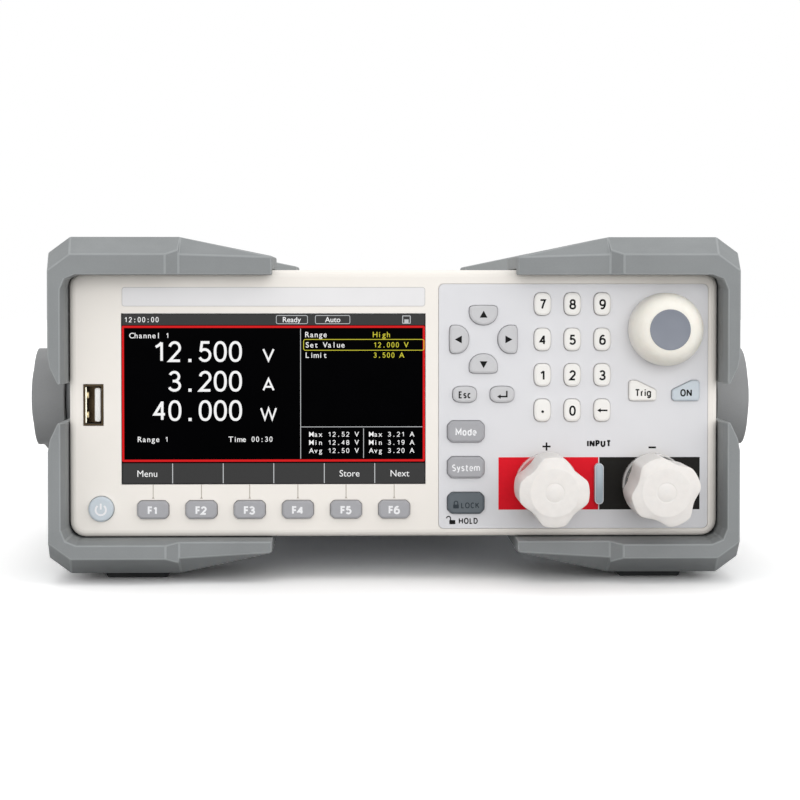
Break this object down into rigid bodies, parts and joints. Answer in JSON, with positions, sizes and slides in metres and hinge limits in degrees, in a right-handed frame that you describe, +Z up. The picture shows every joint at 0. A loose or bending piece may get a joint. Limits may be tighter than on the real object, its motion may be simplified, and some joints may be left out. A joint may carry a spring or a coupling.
{
  "type": "dc electronic load",
  "caption": "Bench DC electronic load in a half-rack case with corner bumpers, a swing handle, a screen, a keypad, an encoder knob and lobed front input terminals.",
  "frame": {"origin": "on the floor under the middle of the whole object", "axes": "+X to the right of the front panel, +Y to the rear, +Z up"},
  "size_m": [0.253, 0.401, 0.1136],
  "materials": {
    "key_white": "fine matt moulded key, white",
    "key_pale": "fine matt moulded key, pale grey",
    "key_grey": "fine matt moulded key, mid grey",
    "key_dark": "fine matt moulded key, slate grey",
    "key_blue": "milky translucent key, pale blue",
    "bezel_plastic": "fine-grained cream housing plastic",
    "overlay_plastic": "printed light grey control panel",
    "screen_cover": "clear cover over a dark display",
    "module_metal": "pressed display frame",
    "socket_metal": "plated socket shell",
    "silicone": "moulded silicone mat",
    "circuit_board": "green circuit board",
    "encoder_metal": "zinc encoder housing",
    "shaft_steel": "turned steel shaft",
    "dial_plastic": "satin cream knob",
    "post_brass": "plated brass stud",
    "ring_red": "red insulating ring",
    "ring_black": "black insulating ring",
    "knob_white": "white moulded terminal knob",
    "tray_steel": "zinc-plated sheet steel",
    "cover_paint": "textured paint on sheet steel",
    "rear_paint": "textured paint on sheet steel",
    "bumper_rubber": "matt grey moulded bumper",
    "foot_rubber": "black rubber foot pad",
    "handle_plastic": "matt grey moulded handle",
    "pivot_plastic": "dark moulded pivot boss",
    "sink_aluminium": "extruded heat sink",
    "fan_plastic": "black fan frame",
    "rotor_plastic": "black fan rotor",
    "supply_mixed": "wound parts on a board",
    "inlet_plastic": "black moulded inlet",
    "port_metal": "plated connector shells"
  },
  "bodies": {
    "case": {"front_bezel": "bezel_plastic", "control_panel": "overlay_plastic", "lcd_window": "screen_cover", "lcd_module": "module_metal", "usb_socket": "socket_metal", "dome_mat": "silicone", "front_board": "circuit_board", "main_board": "circuit_board", "encoder_body": "encoder_metal", "terminal_posts": "post_brass", "bottom_tray": "tray_steel", "top_cover": "cover_paint", "rear_panel": "rear_paint", "front_bumpers": "bumper_rubber", "rear_bumpers": "bumper_rubber", "feet": "foot_rubber", "handle_pivots": "pivot_plastic", "heat_sink": "sink_aluminium", "fan_frame": "fan_plastic", "power_supply": "supply_mixed", "mains_inlet": "inlet_plastic", "rear_connectors": "port_metal"},
    "key_7": {"key_7": "key_white"},
    "key_8": {"key_8": "key_white"},
    "key_9": {"key_9": "key_white"},
    "key_4": {"key_4": "key_white"},
    "key_5": {"key_5": "key_white"},
    "key_6": {"key_6": "key_white"},
    "key_1": {"key_1": "key_white"},
    "key_2": {"key_2": "key_white"},
    "key_3": {"key_3": "key_white"},
    "key_point": {"key_point": "key_white"},
    "key_0": {"key_0": "key_white"},
    "key_back": {"key_back": "key_white"},
    "key_trig": {"key_trig": "key_white"},
    "key_up": {"key_up": "key_pale"},
    "key_left": {"key_left": "key_pale"},
    "key_down": {"key_down": "key_pale"},
    "key_right": {"key_right": "key_pale"},
    "key_esc": {"key_esc": "key_pale"},
    "key_enter": {"key_enter": "key_pale"},
    "key_system": {"key_system": "key_grey"},
    "key_mode": {"key_mode": "key_grey"},
    "key_f1": {"key_f1": "key_grey"},
    "key_f2": {"key_f2": "key_grey"},
    "key_f3": {"key_f3": "key_grey"},
    "key_f4": {"key_f4": "key_grey"},
    "key_f5": {"key_f5": "key_grey"},
    "key_f6": {"key_f6": "key_grey"},
    "key_lock": {"key_lock": "key_dark"},
    "key_on": {"key_on": "key_blue"},
    "power_button": {"power_button": "key_blue"},
    "encoder": {"encoder_shaft": "shaft_steel", "encoder_knob": "dial_plastic"},
    "positive_ring": {"positive_washer": "ring_red"},
    "positive_nut": {"positive_knob": "knob_white"},
    "negative_ring": {"negative_washer": "ring_black"},
    "negative_nut": {"negative_knob": "knob_white"},
    "handle": {"handle": "handle_plastic"},
    "rotor": {"fan_rotor": "rotor_plastic"}
  },
  "joints": [
    {"name": "key_7_press", "type": "slide", "parent": "case", "child": "key_7", "axis": [0, 1, 0], "range_m": [0, 0.0012], "stiffness_N_per_m": 400},
    {"name": "key_8_press", "type": "slide", "parent": "case", "child": "key_8", "axis": [0, 1, 0], "range_m": [0, 0.0012], "stiffness_N_per_m": 400},
    {"name": "key_9_press", "type": "slide", "parent": "case", "child": "key_9", "axis": [0, 1, 0], "range_m": [0, 0.0012], "stiffness_N_per_m": 400},
    {"name": "key_4_press", "type": "slide", "parent": "case", "child": "key_4", "axis": [0, 1, 0], "range_m": [0, 0.0012], "stiffness_N_per_m": 400},
    {"name": "key_5_press", "type": "slide", "parent": "case", "child": "key_5", "axis": [0, 1, 0], "range_m": [0, 0.0012], "stiffness_N_per_m": 400},
    {"name": "key_6_press", "type": "slide", "parent": "case", "child": "key_6", "axis": [0, 1, 0], "range_m": [0, 0.0012], "stiffness_N_per_m": 400},
    {"name": "key_1_press", "type": "slide", "parent": "case", "child": "key_1", "axis": [0, 1, 0], "range_m": [0, 0.0012], "stiffness_N_per_m": 400},
    {"name": "key_2_press", "type": "slide", "parent": "case", "child": "key_2", "axis": [0, 1, 0], "range_m": [0, 0.0012], "stiffness_N_per_m": 400},
    {"name": "key_3_press", "type": "slide", "parent": "case", "child": "key_3", "axis": [0, 1, 0], "range_m": [0, 0.0012], "stiffness_N_per_m": 400},
    {"name": "key_point_press", "type": "slide", "parent": "case", "child": "key_point", "axis": [0, 1, 0], "range_m": [0, 0.0012], "stiffness_N_per_m": 400},
    {"name": "key_0_press", "type": "slide", "parent": "case", "child": "key_0", "axis": [0, 1, 0], "range_m": [0, 0.0012], "stiffness_N_per_m": 400},
    {"name": "key_back_press", "type": "slide", "parent": "case", "child": "key_back", "axis": [0, 1, 0], "range_m": [0, 0.0012], "stiffness_N_per_m": 400},
    {"name": "key_trig_press", "type": "slide", "parent": "case", "child": "key_trig", "axis": [0, 1, 0], "range_m": [0, 0.0012], "stiffness_N_per_m": 400},
    {"name": "key_up_press", "type": "slide", "parent": "case", "child": "key_up", "axis": [0, 1, 0], "range_m": [0, 0.0012], "stiffness_N_per_m": 400},
    {"name": "key_left_press", "type": "slide", "parent": "case", "child": "key_left", "axis": [0, 1, 0], "range_m": [0, 0.0012], "stiffness_N_per_m": 400},
    {"name": "key_down_press", "type": "slide", "parent": "case", "child": "key_down", "axis": [0, 1, 0], "range_m": [0, 0.0012], "stiffness_N_per_m": 400},
    {"name": "key_right_press", "type": "slide", "parent": "case", "child": "key_right", "axis": [0, 1, 0], "range_m": [0, 0.0012], "stiffness_N_per_m": 400},
    {"name": "key_esc_press", "type": "slide", "parent": "case", "child": "key_esc", "axis": [0, 1, 0], "range_m": [0, 0.0012], "stiffness_N_per_m": 400},
    {"name": "key_enter_press", "type": "slide", "parent": "case", "child": "key_enter", "axis": [0, 1, 0], "range_m": [0, 0.0012], "stiffness_N_per_m": 400},
    {"name": "key_system_press", "type": "slide", "parent": "case", "child": "key_system", "axis": [0, 1, 0], "range_m": [0, 0.0012], "stiffness_N_per_m": 400},
    {"name": "key_mode_press", "type": "slide", "parent": "case", "child": "key_mode", "axis": [0, 1, 0], "range_m": [0, 0.0012], "stiffness_N_per_m": 400},
    {"name": "key_f1_press", "type": "slide", "parent": "case", "child": "key_f1", "axis": [0, 1, 0], "range_m": [0, 0.0012], "stiffness_N_per_m": 400},
    {"name": "key_f2_press", "type": "slide", "parent": "case", "child": "key_f2", "axis": [0, 1, 0], "range_m": [0, 0.0012], "stiffness_N_per_m": 400},
    {"name": "key_f3_press", "type": "slide", "parent": "case", "child": "key_f3", "axis": [0, 1, 0], "range_m": [0, 0.0012], "stiffness_N_per_m": 400},
    {"name": "key_f4_press", "type": "slide", "parent": "case", "child": "key_f4", "axis": [0, 1, 0], "range_m": [0, 0.0012], "stiffness_N_per_m": 400},
    {"name": "key_f5_press", "type": "slide", "parent": "case", "child": "key_f5", "axis": [0, 1, 0], "range_m": [0, 0.0012], "stiffness_N_per_m": 400},
    {"name": "key_f6_press", "type": "slide", "parent": "case", "child": "key_f6", "axis": [0, 1, 0], "range_m": [0, 0.0012], "stiffness_N_per_m": 400},
    {"name": "key_lock_press", "type": "slide", "parent": "case", "child": "key_lock", "axis": [0, 1, 0], "range_m": [0, 0.0012], "stiffness_N_per_m": 400},
    {"name": "key_on_press", "type": "slide", "parent": "case", "child": "key_on", "axis": [0, 1, 0], "range_m": [0, 0.0012], "stiffness_N_per_m": 400},
    {"name": "power_button_press", "type": "slide", "parent": "case", "child": "power_button", "axis": [0, 1, 0], "range_m": [0, 0.0012], "stiffness_N_per_m": 400},
    {"name": "encoder_turn", "type": "hinge", "parent": "case", "child": "encoder", "pos_m": [0.0894, -0.1665, 0.0832], "axis": [0, 1, 0], "continuous": true},
    {"name": "positive_travel", "type": "slide", "parent": "case", "child": "positive_ring", "axis": [0, -1, 0], "range_m": [0, 0.005]},
    {"name": "positive_turn", "type": "hinge", "parent": "positive_ring", "child": "positive_nut", "pos_m": [0.05, -0.1665, 0.032], "axis": [0, -1, 0], "range_deg": [0, 1440]},
    {"name": "negative_travel", "type": "slide", "parent": "case", "child": "negative_ring", "axis": [0, -1, 0], "range_m": [0, 0.005]},
    {"name": "negative_turn", "type": "hinge", "parent": "negative_ring", "child": "negative_nut", "pos_m": [0.0855, -0.1665, 0.032], "axis": [0, -1, 0], "range_deg": [0, 1440]},
    {"name": "handle_swing", "type": "hinge", "parent": "case", "child": "handle", "pos_m": [0, -0.1055, 0.0581], "axis": [-1, 0, 0], "range_deg": [0, 327]},
    {"name": "fan_spin", "type": "hinge", "parent": "case", "child": "rotor", "pos_m": [-0.055, 0.1861, 0.0586], "axis": [0, 1, 0], "continuous": true}
  ],
  "couplings": [
    {"joint": "positive_turn", "follows": "positive_travel", "rad_per_m": 5026.5},
    {"joint": "negative_turn", "follows": "negative_travel", "rad_per_m": 5026.5}
  ]
}
